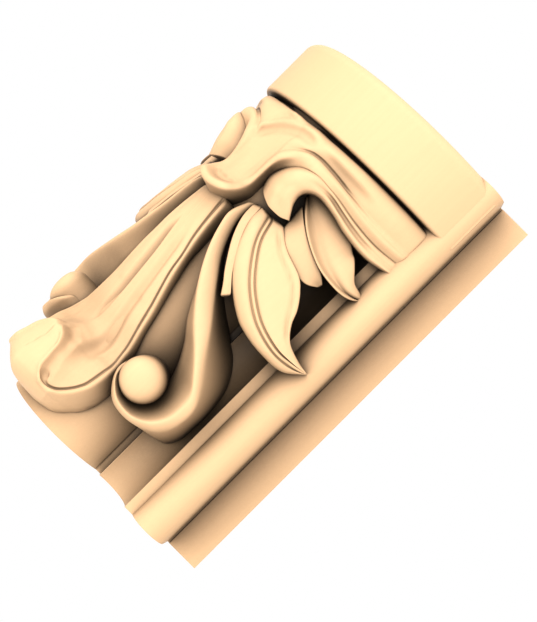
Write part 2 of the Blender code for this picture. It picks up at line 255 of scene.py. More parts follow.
def finishPiece(piece, smoothing=0, bevel=0.0, flat=False, lines=(), patches=()):
    twin = piece.modifiers.new("other wing", "MIRROR")
    twin.mirror_object = diagonal
    twin.merge_threshold = 1e-5
    if bevel:
        soften = piece.modifiers.new("softened arrises", "BEVEL")
        soften.width = bevel * mm
        soften.segments = 3
        soften.angle_limit = math.radians(40)
        soften.use_clamp_overlap = True
    if smoothing:
        rounding = piece.modifiers.new("rounding", "SUBSURF")
        rounding.levels = rounding.render_levels = smoothing
    bpy.context.view_layer.update()
    graph = bpy.context.evaluated_depsgraph_get()
    made = bpy.data.meshes.new_from_object(piece.evaluated_get(graph))
    piece.modifiers.clear()
    piece.data = made
    for patch in patches:
        evenOut(made, *patch)
    for line in lines:
        carveLine(made, **line)
    made.shade_smooth()
    if flat:
        made.set_sharp_from_angle(angle=math.radians(35))
    made.materials.clear()
    made.materials.append(limewood)
    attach(piece, "root")
    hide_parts("corbel")
    print(piece.name, len(made.polygons), "faces")


# Bare limewood: pale and close-grained, with painted shade: ambient occlusion darkens the base colour towards
# near black in recesses and creases.
wood = {
    "pale": (0.600, 0.376, 0.203, 1),
    "warm": (0.515, 0.321, 0.171, 1),
    "paintedShade": (0.012, 0.0075, 0.004, 1),
    "paintedShadeReach": 0.06,
    "paintedShadeTo": 1.0,
    "paintedShadePower": 2.1,
    "roughness": 0.6,
    "gloss": 0.15,
    "grainScale": 540.0,
    "grainStretch": 0.06,
    "poreScale": 2400.0,
    "poreShare": 0.5,
    "paintedShadeSamples": 12,
    "bumpStrength": 0.06,
    "bumpDepth": 0.0003,
}


def makeLimewood():
    material = bpy.data.materials.new("limewood")
    material.use_nodes = True
    nodes, links = material.node_tree.nodes, material.node_tree.links
    shader = nodes["Principled BSDF"]
    shader.inputs["Roughness"].default_value = wood["roughness"]
    shader.inputs["Specular IOR Level"].default_value = wood["gloss"]
    where = nodes.new("ShaderNodeTexCoord")
    stretch = nodes.new("ShaderNodeMapping")
    stretch.inputs["Scale"].default_value = (1, 1, wood["grainStretch"])
    links.new(where.outputs["Object"], stretch.inputs["Vector"])
    grain = nodes.new("ShaderNodeTexNoise")
    grain.inputs["Scale"].default_value = wood["grainScale"]
    grain.inputs["Detail"].default_value = 4
    links.new(stretch.outputs["Vector"], grain.inputs["Vector"])
    pores = nodes.new("ShaderNodeTexNoise")
    pores.inputs["Scale"].default_value = wood["poreScale"]
    pores.inputs["Detail"].default_value = 2
    links.new(where.outputs["Object"], pores.inputs["Vector"])
    speckle = nodes.new("ShaderNodeMix")
    speckle.inputs[0].default_value = wood["poreShare"]
    links.new(grain.outputs["Fac"], speckle.inputs[2])
    links.new(pores.outputs["Fac"], speckle.inputs[3])
    tone = nodes.new("ShaderNodeMix")
    tone.data_type = "RGBA"
    tone.inputs[6].default_value = wood["pale"]
    tone.inputs[7].default_value = wood["warm"]
    links.new(speckle.outputs[0], tone.inputs[0])
    # Painted shade: ambient occlusion mixes the base colour towards near black in recesses, creases and between
    # parts, where shade falls.
    hollow = nodes.new("ShaderNodeAmbientOcclusion")
    hollow.inputs["Distance"].default_value = wood["paintedShadeReach"]
    hollow.samples = wood["paintedShadeSamples"]
    depth = nodes.new("ShaderNodeMapRange")
    depth.inputs["From Max"].default_value = wood["paintedShadeTo"]
    links.new(hollow.outputs["AO"], depth.inputs["Value"])
    fall = nodes.new("ShaderNodeMath")
    fall.operation = "POWER"
    fall.inputs[1].default_value = wood["paintedShadePower"]
    links.new(depth.outputs["Result"], fall.inputs[0])
    shade = nodes.new("ShaderNodeMix")
    shade.data_type = "RGBA"
    shade.inputs[6].default_value = wood["paintedShade"]
    links.new(fall.outputs["Value"], shade.inputs[0])
    links.new(tone.outputs[2], shade.inputs[7])
    links.new(shade.outputs[2], shader.inputs["Base Color"])
    bump = nodes.new("ShaderNodeBump")
    bump.inputs["Strength"].default_value = wood["bumpStrength"]
    bump.inputs["Distance"].default_value = wood["bumpDepth"]
    links.new(grain.outputs["Fac"], bump.inputs["Height"])
    links.new(bump.outputs["Normal"], shader.inputs["Normal"])
    return material


limewood = makeLimewood()

# The wings' mouldings in plan: flange, quirk, bead, fillet, cove, a small step and the corner shaft.
mouldings = {
    "quirk": (102.4, 101.2, 0.7),
    "bead": ((88.6, 14.4), 10.8),
    "fillet": (78.3, 72.7, 17.5),
    "cove": ((58.4, 17.5), (14.3, 15.1), 52.8),
    "groove": [(52.5, -1.0), (49.3, -1.0), (48.9, 0.1)],
    "shaftEnd": 48.6,
    "beadFoot": 16.3,
    "softening": 0.3,
    "arcSteps": 40,
}


def arc(centre, radii, start, end, steps):
    points = []
    for step in range(steps + 1):
        angle = math.radians(start + (end - start) * step / steps)
        points.append((centre[0] + radii[0] * math.cos(angle), centre[1] + radii[1] * math.sin(angle)))
    return points


def planBody(name, plan, levels):  # levels are (height, how far the round face is set back)
    bm = bmesh.new()
    rings = []
    for height, inset in levels:
        ring = []
        for x, out in plan:
            away = Vector((x - block["centre"][0], out - block["centre"][1]))
            if inset and away.length > block["radius"] - 0.5:
                x -= away.x * inset / away.length
                out -= away.y * inset / away.length
            ring.append(bm.verts.new(onWing(x, height, out)))
        rings.append(ring)
    for ring, above in zip(rings, rings[1:]):
        for here in range(len(ring) - 1):
            bm.faces.new((ring[here], ring[here + 1], above[here + 1], above[here]))
    bm.faces.new(rings[0])
    bm.faces.new(rings[-1])
    bmesh.ops.recalc_face_normals(bm, faces=bm.faces)
    mesh = bpy.data.meshes.new(name)
    bm.to_mesh(mesh)
    bm.free()
    piece = bpy.data.objects.new(name, mesh)
    bpy.context.scene.collection.objects.link(piece)
    return piece


block = {
    "centre": (56.3, -56.3),
    "radius": 88.0,
    "foot": 203.0,
    "end": 97.0,
    "topRound": 6.0,
    "footRound": 2.0,
    "inside": (5.0, -5.0),
    "arcSteps": 90,
}


def makeWings():
    m = mouldings
    beadCentre, beadRadius = m["bead"]
    beadStart = math.degrees(math.asin((m["beadFoot"] - beadCentre[1]) / beadRadius))
    beadEnd = math.degrees(math.acos((m["fillet"][0] - beadCentre[0]) / beadRadius))
    coveCentre, coveRadii, coveEnd = m["cove"]
    coveAngle = -math.degrees(math.acos((coveEnd - coveCentre[0]) / coveRadii[0]))
    shaftStart = math.degrees(math.acos((m["shaftEnd"] - body["shaft"][0]) / body["shaftRadius"]))
    shaftRadii = (body["shaftRadius"], body["shaftRadius"])
    plan = [
        (body["wall"], -body["wall"]),
        (body["wing"], -body["wall"]),
        (body["wing"], 0.0),
        (m["quirk"][0], 0.0),
        (m["quirk"][0], -m["quirk"][2]),
        (m["quirk"][1], -m["quirk"][2]),
        *arc(beadCentre, (beadRadius, beadRadius), beadStart, beadEnd, m["arcSteps"]),
        (m["fillet"][0], m["fillet"][2]),
        *arc(coveCentre, coveRadii, 0.0, coveAngle, m["arcSteps"]),
        *m["groove"],
        *arc(body["shaft"], shaftRadii, shaftStart, 135.0, m["arcSteps"]),
    ]
    piece = planBody("corbel_wings", plan, [(0.0, 0.0), (body["height"], 0.0)])
    finishPiece(piece, bevel=m["softening"], flat=True)


def makeBlock():
    b = block
    endAngle = math.degrees(math.acos((b["end"] - b["centre"][0]) / b["radius"]))
    face = arc(b["centre"], (b["radius"], b["radius"]), endAngle, 135.0, b["arcSteps"])
    plan = [(b["end"], 0.0), *face]
    levels = []
    for step in range(9):
        turn = math.radians(90 * step / 8)
        inset = b["footRound"] * (1 - math.sin(turn))
        levels.append((b["foot"] + b["footRound"] * (1 - math.cos(turn)), inset))
    for step in range(13):
        turn = math.radians(90 * step / 12)
        inset = b["topRound"] * (1 - math.cos(turn))
        levels.append((body["height"] - b["topRound"] * (1 - math.sin(turn)), inset))
    piece = planBody("corbel_block", plan + [b["inside"]], levels)
    finishPiece(piece, flat=True)


makeWings()
makeBlock()
print("mouldings and block made")

# The leaf drapery under the block. Each line runs from the bead to the corner, and ends on the diagonal plane.
mantle = {
    "steps": 84,
    "top": [
        (85, 200.4, 23.5), (69.5, 200.6, 27.3), (54.5, 200.6, 28.2), (40, 200.4, 27.6), (28, 200, 25.3),
        (20.5, 199.8, 22.6), (14, 199.6, 19.2), (8.5, 199.6, 15.8), (4.5, 199.6, 12.8), (2, 199.6, 10.9),
        (0, 199.6, 9.5), (-1.6, 199.6, 8.5), (-3, 199.6, 7.7), (-4.2, 199.6, 6.9),
    ],
    "pull": [
        (85, 196, 24.8), (69.5, 196, 29.8), (54.5, 196, 30.6), (40, 195.5, 29.8), (28, 196, 28.7),
        (20.5, 196, 27), (13.5, 195.5, 23.3), (7.5, 193.5, 19.3), (3.2, 191, 15.5), (1.1, 187.5, 12.3),
        (-0.6, 183.5, 10.7), (-1.1, 178.7, 9.6), (-1.7, 175.4, 8.2), (-2.4, 171, 5.8),
    ],
    "valley": [
        (85, 187.3, 23.9), (69.5, 186.8, 26.8), (54.5, 187, 27.6), (40, 188.4, 26.7), (28, 189.8, 25.8),
        (20.3, 190.1, 24.4), (13.2, 188.9, 21.8), (6.5, 184.9, 17.6), (1.9, 179.4, 14.8), (0.3, 173.1, 12.9),
        (-0.1, 165.2, 11.6), (-1.2, 158.7, 11.4), (-3.5, 153.1, 12.2), (-6.8, 150.2, 12.2),
    ],
    "crest": [
        (85, 185, 24.2), (69.5, 184, 26.8), (54.5, 185, 28.3), (40, 186.9, 29.2), (28, 188, 29),
        (20, 188.2, 27.4), (13.5, 186.7, 24.6), (8, 183.6, 21), (3.4, 177.4, 18.6), (2.2, 171, 16.6),
        (1.8, 163, 15.1), (0.9, 157.5, 15.2), (-1.1, 153, 17.8), (-6, 148.6, 20.2),
    ],
    "edge": [
        (85, 183.6, 24), (69.5, 182.4, 27), (54.5, 183.3, 28.7), (40, 185.5, 29.8), (28, 186.3, 29.9),
        (20.3, 186.1, 28.4), (14.8, 184.5, 25.4), (10.5, 182, 22.4), (6.2, 177, 20.1), (4.4, 171.4, 17.9),
        (3.9, 163.5, 16), (3.4, 157, 16.4), (1.2, 151, 19.8), (-4.5, 145.2, 21.4),
    ],
    "foot": [
        (85, 180.3, 22.6), (69.5, 178.6, 24.9), (54.5, 179.4, 26.9), (40, 181.7, 28.4), (29.1, 182.7, 30.2),
        (21.7, 182.3, 29.3), (16.7, 180.6, 25.6), (12, 177.3, 20.2), (9.1, 173.7, 15.8), (7.4, 169.1, 12.8),
        (7.3, 164.2, 11.6), (7.9, 159.3, 10), (8.3, 152, 8), (2.3, 143.5, 8),
    ],
    "middle": {
        "top": (7.6, 199.6),
        "pull": (5, 168),
        "valley": (13.6, 149.6),
        "crest": (20, 146.3),
        "edge": (19.8, 143),
        "foot": (13, 141),
    },
    "patches": [(11.5, 151, 199, 2.6)],
    "slot": (1.9, 0.9, 6.0),
    "tuck": 2.5,
    "fold": [
        (-14, 176.4), (-12.6, 181.4), (-9.2, 186.2), (-5.1, 190), (0, 193), (6, 195.2), (12, 196.5),
        (19, 197.2), (27, 197.4),
    ],
    "foldValley": [(-12.8, 176), (-8.4, 183.3), (-2.1, 189), (6.9, 192.9), (15.3, 193.9), (28, 193.4)],
    "swellValley": [(13, 193.6), (25.3, 192.6), (35, 191.9), (47.4, 191.4), (58, 190.5)],
    "softValley": [
        (-4.7, 152.6), (-2.2, 156.7), (-0.8, 161.7), (-0.3, 167.2), (0.2, 174.7), (1.2, 180.4), (3.4, 184.6),
        (7.8, 187.6),
    ],
    "quirk": [(6.5, 184.9), (13.2, 188.9), (20.2, 190.1), (28, 189.8), (35, 189.1), (40, 188.4), (46, 187.7)],
}


def makeMantle():
    d = mantle
    lines = {}
    for line in ("top", "pull", "valley", "crest", "edge", "foot"):
        lines[line] = rail(d[line], d["steps"], d["middle"][line])
    top, pull, valley, crest, edge, foot = lines.values()
    rise, back, deep = d["slot"]
    shoulder = [proud(point, -back) + Vector((0, 0, (rise - back) * mm)) for point in top]
    slot = [proud(point, -deep) + Vector((0, 0, rise * mm * 0.7)) for point in top]
    wall = [proud(f + (f - e) * 0.4, -d["tuck"]) for e, f in zip(edge, foot)]
    rails = [
        sunk([point + Vector((0, 0, 3 * mm)) for point in slot], body["core"]),
        [point + Vector((0, 0, 2.5 * mm)) for point in slot],
        slot,
        shoulder,
        top,
    ]
    rails += [bowed(top, pull, valley, share) for share in (0.12, 0.25, 0.38, 0.5, 0.62, 0.74, 0.84, 0.93)]
    rails += [
        valley,
        between(valley, crest, 0.3, 0.25),
        between(valley, crest, 0.65, 0.45),
        crest,
        between(crest, edge, 0.5, 0.25),
        edge,
        between(edge, foot, 0.33, 0.1),
        between(edge, foot, 0.66, -0.1),
        foot,
        wall,
        sunk(wall, body["core"]),
    ]
    lines = [
        {"points": d["fold"], "width": 5.0, "depth": -1.5, "plane": "corner", "bothWings": False, "taper": 10.0},
        {
            "points": d["foldValley"],
            "width": 5.0,
            "depth": 1.3,
            "plane": "corner",
            "bothWings": False,
            "taper": 8.0,
        },
        {"points": d["swellValley"], "width": 4.5, "depth": 1.2, "taper": 14.0},
        {"points": d["softValley"], "width": 2.6, "depth": 0.6, "bothWings": False, "taper": 12.0},
        {"points": d["quirk"], "width": 1.1, "depth": 0.8, "taper": 10.0},
    ]
    finishPiece(cage("leaf_mantle", rails, capEnd=False), smoothing=2, lines=lines, patches=d["patches"])


beak = {
    "steps": 84,
    "outer": [
        (85, 180.3, 22.8), (69.5, 178.6, 25.1), (54.5, 179.4, 27.1), (44.8, 180.9, 28.2), (35, 182.3, 29.3),
        (25.2, 182.6, 30.3), (17.2, 180.9, 26.1), (11.5, 176.6, 19.8), (7.7, 170.6, 13.8), (7.1, 166.2, 12.2),
        (8.9, 160.7, 12.2),
    ],
    "high": [
        (85, 178.5, 23), (69.5, 177.6, 25.6), (54.5, 178.2, 27.5), (44.8, 179.6, 28.3), (35, 181.2, 29.4),
        (25.3, 181.2, 31.1), (17, 178, 29.3), (13.4, 174.1, 26.5), (11.8, 169.3, 24), (11.5, 164.5, 22.5),
        (12.1, 157.6, 20),
    ],
    "brow": [
        (85, 176.5, 23), (69.5, 175.7, 25.2), (54.5, 176.6, 26.8), (44.8, 178.4, 27.6), (35, 180, 28.5),
        (26.3, 178.6, 30.6), (20, 174.7, 30.8), (17.5, 169.9, 29.8), (17, 165.6, 28.7), (17.2, 161.3, 27.5),
        (18.2, 154.8, 24.5),
    ],
    "rim": [
        (85, 174.7, 24), (69.5, 172.5, 26.2), (54.5, 173.9, 28), (44.8, 176.3, 28.9), (36, 177.8, 29.5),
        (30.2, 176.7, 30), (25.4, 174, 30.2), (23.4, 170.4, 29.7), (23.1, 166.1, 29), (24.3, 161.7, 28),
        (26.2, 155, 26),
    ],
    "inner": [
        (85, 173.7, 22), (69.5, 170.7, 24.2), (54.5, 171.9, 25.7), (44.8, 174.3, 26.7), (36, 175.7, 27.2),
        (31.2, 175.4, 27.5), (27.5, 173.3, 27.5), (25.8, 169.7, 27.2), (26.5, 165.3, 27), (28.7, 161.1, 27),
        (31.1, 157.5, 26),
    ],
    "crease": [(20.5, 174.5), (17.8, 168.5), (18.3, 163), (20.5, 158.5), (23, 155.5)],
    "quirk": [
        (31.6, 180.3), (35, 180.2), (39.9, 179.6), (44.8, 178.4), (49.7, 177.4), (54.6, 176.4), (59.5, 175.7),
        (64.3, 175.4), (71.7, 175.4),
    ],
    "arris": [(31, 181.8), (39.9, 180.9), (44.8, 180), (49.7, 179.2), (54.6, 178.5), (64, 177.6)],
}


def makeBeak():
    lines = [rail(beak[line], beak["steps"]) for line in ("outer", "high", "brow", "rim", "inner")]
    outer, high, brow, rim, inner = lines
    tongue = [proud(o + (o - h).normalized() * 3 * mm, -2.5) for o, h in zip(outer, high)]
    rails = [
        sunk(tongue, body["core"]),
        tongue,
        outer,
        between(outer, high, 0.5, 0.3),
        high,
        between(high, brow, 0.5, 0.3),
        brow,
        between(brow, rim, 0.5, 0.2),
        rim,
        between(rim, inner, 0.5, 0.4),
        inner,
        beside(inner, rim, 0.5, -2.5),
        sunk(inner, body["core"]),
    ]
    lines = [
        {"points": beak["crease"], "width": 3.5, "depth": 0.9, "taper": 8.0},
        {"points": beak["quirk"], "width": 1.6, "depth": 0.6, "taper": 9.0},
        {"points": beak["arris"], "width": 1.2, "depth": -0.2, "taper": 9.0},
    ]
    finishPiece(cage("leaf_beak", rails), smoothing=2, lines=lines)


# The side leaves: an upper and a lower edge each, and a vein where there is one.
longLeaf = {
    "steps": 48,
    "upper": [
        (30, 154.5, 22.5), (40, 147, 27.5), (53, 142, 30.5), (59.5, 136.5, 31.5), (64.5, 129.5, 32),
        (67.5, 122.5, 32.5), (73, 116, 33), (81.5, 112.5, 31.5), (90, 110.7, 29),
    ],
    "vein": [
        (23, 152.5, 21.5), (26, 141.5, 25.5), (31.5, 132.5, 28.5), (40, 122.5, 31.5), (50.5, 114.5, 33.5),
        (60, 110, 35), (71.5, 107.5, 35.5), (81, 108.5, 33.5), (90.2, 110.5, 29),
    ],
    "lower": [
        (15.5, 154, 19.5), (16, 144, 23), (22, 128.5, 26), (32, 116, 28.5), (45, 106.5, 30.5),
        (54.5, 103, 32), (66.5, 101.5, 33.5), (80, 102.5, 32), (90, 110.3, 29),
    ],
    "rimCrease": [
        (28.5, 152), (38.5, 143.5), (47, 139.8), (53.5, 136.5), (58.2, 132), (61.5, 127), (65, 121.5),
        (69.5, 116.5), (75, 113.8),
    ],
    "ridgeHalf": 0.8,
    "grooveAway": 1.35,
    "grooveDepth": 1.0,
    "undercut": 0.3,
}


def makeLongLeaf():
    d = longLeaf
    upper, vein, lower = (rail(d[line], d["steps"]) for line in ("upper", "vein", "lower"))
    rails = [
        sunk(upper, body["core"], lower, d["undercut"]),
        beside(upper, lower, 0.6, -3.0),
        upper,
        beside(upper, vein, 1.0, 0.5),
        between(upper, vein, 0.2, 0.6),
        between(upper, vein, 0.5, 0.9),
        between(upper, vein, 0.8, 0.6),
        beside(vein, upper, d["grooveAway"] * 1.5, 0.3),
        beside(vein, upper, d["grooveAway"], -d["grooveDepth"]),
        beside(vein, upper, d["ridgeHalf"], 0.3),
        [proud(point, 0.5) for point in vein],
        beside(vein, lower, d["ridgeHalf"], 0.3),
        beside(vein, lower, d["grooveAway"], -d["grooveDepth"]),
        beside(vein, lower, d["grooveAway"] * 1.5, 0.3),
        between(vein, lower, 0.45, 0.8),
        between(vein, lower, 0.75, 0.2),
        beside(lower, vein, 0.9, -0.6),
        [proud(point, -2.0) for point in lower],
        beside(lower, upper, 0.4, -5.0),
        sunk(lower, body["core"], upper, d["undercut"]),
    ]
    lines = [{"points": d["rimCrease"], "width": 1.5, "depth": 0.7, "taper": 8.0}]
    finishPiece(cage("long_leaf", rails), smoothing=2, lines=lines)


shortLeaf = {
    "steps": 40,
    "upper": [
        (27, 179, 17.5), (39.5, 180, 19.5), (54.5, 176.5, 21), (63, 169.5, 22.5), (66.5, 167.5, 23.5),
        (70.5, 163.5, 24.5), (75, 159, 24.5), (80, 157.5, 23), (85, 156, 20.5),
    ],
    "lower": [
        (28, 171.5, 18.5), (33, 165.5, 23.5), (40, 159.5, 26.5), (48.5, 154.5, 28.5), (57, 151, 29.5),
        (65.5, 149.5, 29.5), (74, 149.5, 28), (80, 151.5, 25), (85, 155.5, 20.5),
    ],
    "rimIn": 2.2,
    "hollow": 2.0,
    "undercut": 0.3,
}


def makeShortLeaf():
    d = shortLeaf
    upper, lower = (rail(d[line], d["steps"]) for line in ("upper", "lower"))
    rails = [
        sunk(upper, body["core"], lower, d["undercut"]),
        beside(upper, lower, 0.6, -2.5),
        upper,
        beside(upper, lower, 1.0, 0.3),
        between(upper, lower, 0.35, 0.5),
        between(upper, lower, 0.6, -0.2),
        between(upper, lower, 0.75, -d["hollow"]),
        beside(lower, upper, d["rimIn"] * 1.2, -0.9),
        beside(lower, upper, d["rimIn"] * 0.55, 0.8),
        lower,
        beside(lower, upper, 0.6, -2.5),
        sunk(lower, body["core"], upper, d["undercut"]),
    ]
    finishPiece(cage("short_leaf", rails), smoothing=2)


lobe = {
    "steps": 24,
    "upper": [
        (29, 168.5, 20), (37, 162, 24.5), (45.5, 156.8, 26.5), (54.5, 153, 27.5), (60.5, 150.2, 27),
        (64.6, 147, 25),
    ],
    "lower": [
        (30.5, 153, 22), (37, 147.5, 26.3), (45, 142.5, 28.3), (51.5, 140.8, 29), (58.5, 141.2, 28),
        (63.8, 144.6, 25),
    ],
}

strip = {
    "steps": 24,
    "upper": [
        (16, 154, 18.5), (16.5, 146.5, 21), (18, 140, 22.5), (21, 133, 24.5), (25.5, 125.5, 26),
        (29.5, 119.5, 27), (33, 115.5, 28), (36.5, 111.5, 28.5),
    ],
    "lower": [
        (11.5, 152, 17), (12, 144, 20), (14, 137, 21.5), (17, 130.5, 23), (21, 124, 24.5), (25, 118, 25.5),
        (29, 113, 26.5), (33, 107, 27),
    ],
}


def makeSmallLeaf(name, shape, dip):
    upper, lower = (rail(shape[line], shape["steps"]) for line in ("upper", "lower"))
    rails = [
        sunk(upper, body["core"], lower, 0.2),
        beside(upper, lower, 0.5, -2.0),
        upper,
        beside(upper, lower, 0.8, 0.3),
        between(upper, lower, 0.45, -dip),
        beside(lower, upper, 0.8, 0.3),
        lower,
        beside(lower, upper, 0.5, -2.0),
        sunk(lower, body["core"], upper, 0.2),
    ]
    finishPiece(cage(name, rails), smoothing=2)


makeMantle()
makeBeak()
makeLongLeaf()
makeShortLeaf()
makeSmallLeaf("round_lobe", lobe, 0.8)
makeSmallLeaf("side_strip", strip, 0.2)
print("mantle and side leaves made")

scroll = {
    "steps": 96,
    "cove": [
        (11, 151, 10), (8, 141, 12), (9.5, 132, 14), (13, 121.5, 15), (17, 111.5, 16), (22, 99.5, 17),
        (28.5, 87.5, 18), (35, 79, 17.5), (40, 70, 17), (43, 62, 16.5), (44, 54, 16.5), (43, 48, 16.5),
        (40, 45, 17), (37.5, 44, 18), (34, 44, 20), (31, 46, 22), (29, 49, 23.5), (28, 51, 23.5),
    ],
    "inner": [
        (9, 151, 15.5), (5.5, 141, 20), (7, 132, 22), (10.5, 121.5, 23.5), (15.5, 111.5, 25.5),
        (23, 100.5, 28), (32.5, 89.5, 31), (42.5, 80, 34), (50.5, 71.5, 36.3), (56, 64, 36.8),
        (57, 55.5, 36.3), (56, 48, 36), (51, 40.5, 35), (43, 36.5, 33.5), (34, 37, 33), (28, 40.5, 32),
        (24.6, 44.5, 30), (24.3, 48.5, 27),
    ],
    "outer": [
        (13.5, 154, 14), (12, 142, 18), (14.5, 132, 19.5), (19, 122, 21.5), (25, 113.5, 24),
        (32.5, 103.5, 26.5), (40.5, 93.5, 30), (49, 81.5, 33), (57, 71, 35), (62.3, 62, 35.5),
        (63.3, 53.5, 34.5), (60.8, 43.8, 33), (54.3, 36.8, 31.5), (43, 32.8, 30), (32, 34, 29),
        (25, 40.5, 28.5), (21.8, 47.5, 26.5), (22.5, 53.5, 23.5),
    ],
    "foot": [
        (14, 154, 4), (13, 143, 4), (16.5, 133, 4), (21.5, 124, 4), (28, 116.5, 4), (37, 108, 4), (47, 99, 4),
        (60.5, 89, 3), (68.5, 77, 5), (71, 64, 6), (71, 53, 6), (70, 41, 5), (63.5, 33.5, 3), (45, 31, 0),
        (33, 33.5, 0), (27, 41, 0), (25, 48, 0), (25, 53, 0),
    ],
    "ball": (35.0, 52.0, 27.0),
    "ballRadius": 12.0,
    "ballRise": 9.0,
    "ballFullness": 2.4,
}


def makeScroll():
    d = scroll
    cove, inner, outer, foot = (rail(d[line], d["steps"]) for line in ("cove", "inner", "outer", "foot"))
    rails = [
        sunk(cove, body["core"]),
        cove,
        between(cove, inner, 0.33, -1.6),
        between(cove, inner, 0.66, -1.4),
        [proud(point, -0.4) for point in inner],
        between(inner, outer, 0.3, 0.55),
        between(inner, outer, 0.65, 0.6),
        [proud(point, -0.4) for point in outer],
        between(outer, foot, 0.1, 0.4),
        between(outer, foot, 0.5, 0.0),
        foot,
        sunk(foot, body["core"]),
    ]
    finishPiece(cage("scroll", rails), smoothing=2)


def makeBall():  # a domed boss, straight-sided behind its widest line
    bm = bmesh.new()
    bmesh.ops.create_uvsphere(bm, u_segments=64, v_segments=32, radius=scroll["ballRadius"] * mm)
    bmesh.ops.rotate(bm, verts=bm.verts, matrix=Matrix.Rotation(math.radians(90), 3, "X"))
    bmesh.ops.translate(bm, verts=bm.verts, vec=onWing(*scroll["ball"]))
    x, z, out = scroll["ball"]
    centre = onWing(x, z, out)
    for vertex in bm.verts:
        if vertex.co.y > centre.y + 1e-6:
            away = Vector((vertex.co.x - centre.x, 0, vertex.co.z - centre.z))
            vertex.co.y = centre.y + (vertex.co.y - centre.y) / (scroll["ballRadius"] * mm) * out * mm
            if away.length > 1e-6:
                vertex.co.x = centre.x + away.x / away.length * scroll["ballRadius"] * mm
                vertex.co.z = centre.z + away.z / away.length * scroll["ballRadius"] * mm
        else:
            reach = math.hypot(vertex.co.x - centre.x, vertex.co.z - centre.z)
            share = min(1.0, reach / (scroll["ballRadius"] * mm))
            fullness = scroll["ballFullness"]
            vertex.co.y = centre.y - (1 - share**fullness) ** (1 / fullness) * scroll["ballRise"] * mm
    mesh = bpy.data.meshes.new("scroll_ball")
    bm.to_mesh(mesh)
    bm.free()
    piece = bpy.data.objects.new("scroll_ball", mesh)
    bpy.context.scene.collection.objects.link(piece)
    finishPiece(piece)


makeScroll()
makeBall()
print("scroll and ball made")

# The corner leaf, level by level: z, the foot's place on the shaft, the rim, the dish's inner edge,
# the middle, the dish's depth.
cornerLeaf = {
    "levels": [
        (145, 12, (10, 8), (1.5, 12), 12, -1.2),
        (121, 12.5, (13.5, 8.5), (1.5, 10.6), 10.6, -1.2),
        (99, 15.5, (17, 6), (1.5, 7.4), 7.4, -1.5),
        (78.5, 20, (21, 1.5), (1.5, 5), 5, -1.8),
        (68, 22, (23, 0), (1.5, 3.9), 3.9, -1.8),
        (58, 25, (25.5, -1.5), (1.5, 3.6), 3.6, -0.8),
        (52.5, 26.5, (27, -1.2), (1.5, 4.6), 4.6, 0.2),
        (48.5, 27.5, (28.2, -0.8), (1.5, 7.8), 7.8, 1.4),
        (45.5, 28.2, (29.2, -0.2), (1.5, 13), 13.3, 2.4),
        (43.5, 28.7, (29.8, 0.3), (1.5, 18), 18.3, 3),
        (42, 29, (30.2, 0.7), (2, 20.6), 20.8, 3.2),
        (39, 29.5, (30.7, 1.4), (7, 21.4), 22.8, 3.4),
        (33, 30.5, (30.7, 3), (12, 21.7), 23.4, 3.4),
        (27, 30.3, (29.4, 5.1), (13.8, 22.5), 25.2, 3.2),
        (22, 29.7, (27.7, 8), (15.4, 23.2), 26.4, 2.6),
        (18.3, 28.8, (25.9, 11.1), (17.3, 21.8), 27, 1.4),
        (16, 28, (23.7, 14.4), (19, 20), 27.2, 0.3),
        (14, 27, (22.4, 13.6), (16.5, 19.5), 26.8, -0.2),
        (11.5, 25, (20.6, 11.8), (15, 17.5), 25.4, -0.4),
        (9, 22.5, (18, 9.3), (13, 14.5), 22.8, -0.5),
        (7, 19.5, (15.3, 6.8), (11, 11), 18.8, -0.5),
        (5.3, 13.5, (10.5, 4.5), (8, 7), 12, -0.3),
        (4.3, 8, (6.5, 3.5), (4.5, 4), 5, 0),
    ],
    "rim": [
        (10, 145), (13.5, 121), (16, 109), (17, 99), (19, 88.5), (21, 78.5), (23, 68.5), (25.5, 58),
        (27.5, 50.5), (30, 43), (30.5, 32), (29.4, 27), (27.9, 22.6), (25.9, 18.3), (23.7, 16), (21, 15.1),
        (18.4, 16.6), (16.4, 20), (14.9, 22.9), (12.6, 30.8), (10.9, 35.5), (5.3, 41), (0, 42.2),
    ],
    "groove": [
        (8, 145), (11.5, 121), (14, 109), (15, 99), (17, 88.5), (19, 78.5), (21, 68.5), (23.4, 58),
        (25.4, 50.5), (27.7, 43), (28.3, 32), (27.3, 27), (25.9, 23), (24.2, 19.4), (22.7, 17.8), (21, 17.2),
        (19.3, 18.3), (18, 20.8), (17, 23.4),
    ],
    "lens": [
        (-4.7, 124.3), (-4.1, 113), (-3.5, 101.5), (-3.4, 88.8), (-3.3, 73), (-3.4, 58), (-4.3, 53),
        (-5.4, 50.3),
    ],
    "hollow": [
        (5.3, 126), (6.2, 105), (7.4, 88), (8.6, 72), (10.8, 60), (13.6, 50), (16.6, 40), (18.4, 31),
        (18.8, 23),
    ],
    "crease": [(-0.6, 41), (0.6, 38), (1, 34), (0.6, 28), (-0.2, 20)],
    "flapLine": [(3.8, 39.8), (6.5, 38.8), (8.9, 36.5), (10.4, 33.8), (11.4, 31)],
    "dip": [(-4, 45.6), (1, 45.8), (6, 45), (10, 43)],
    "patches": [(21, 40.5, 80, 3.0)],
    "sFoot": [
        (19.6, 18), (17.8, 21), (16.8, 24), (14.8, 30), (13.2, 35.5), (9.5, 40.8), (4, 43.6), (0, 44.6),
    ],
    "columns": 26,
    "steps": 80,
}


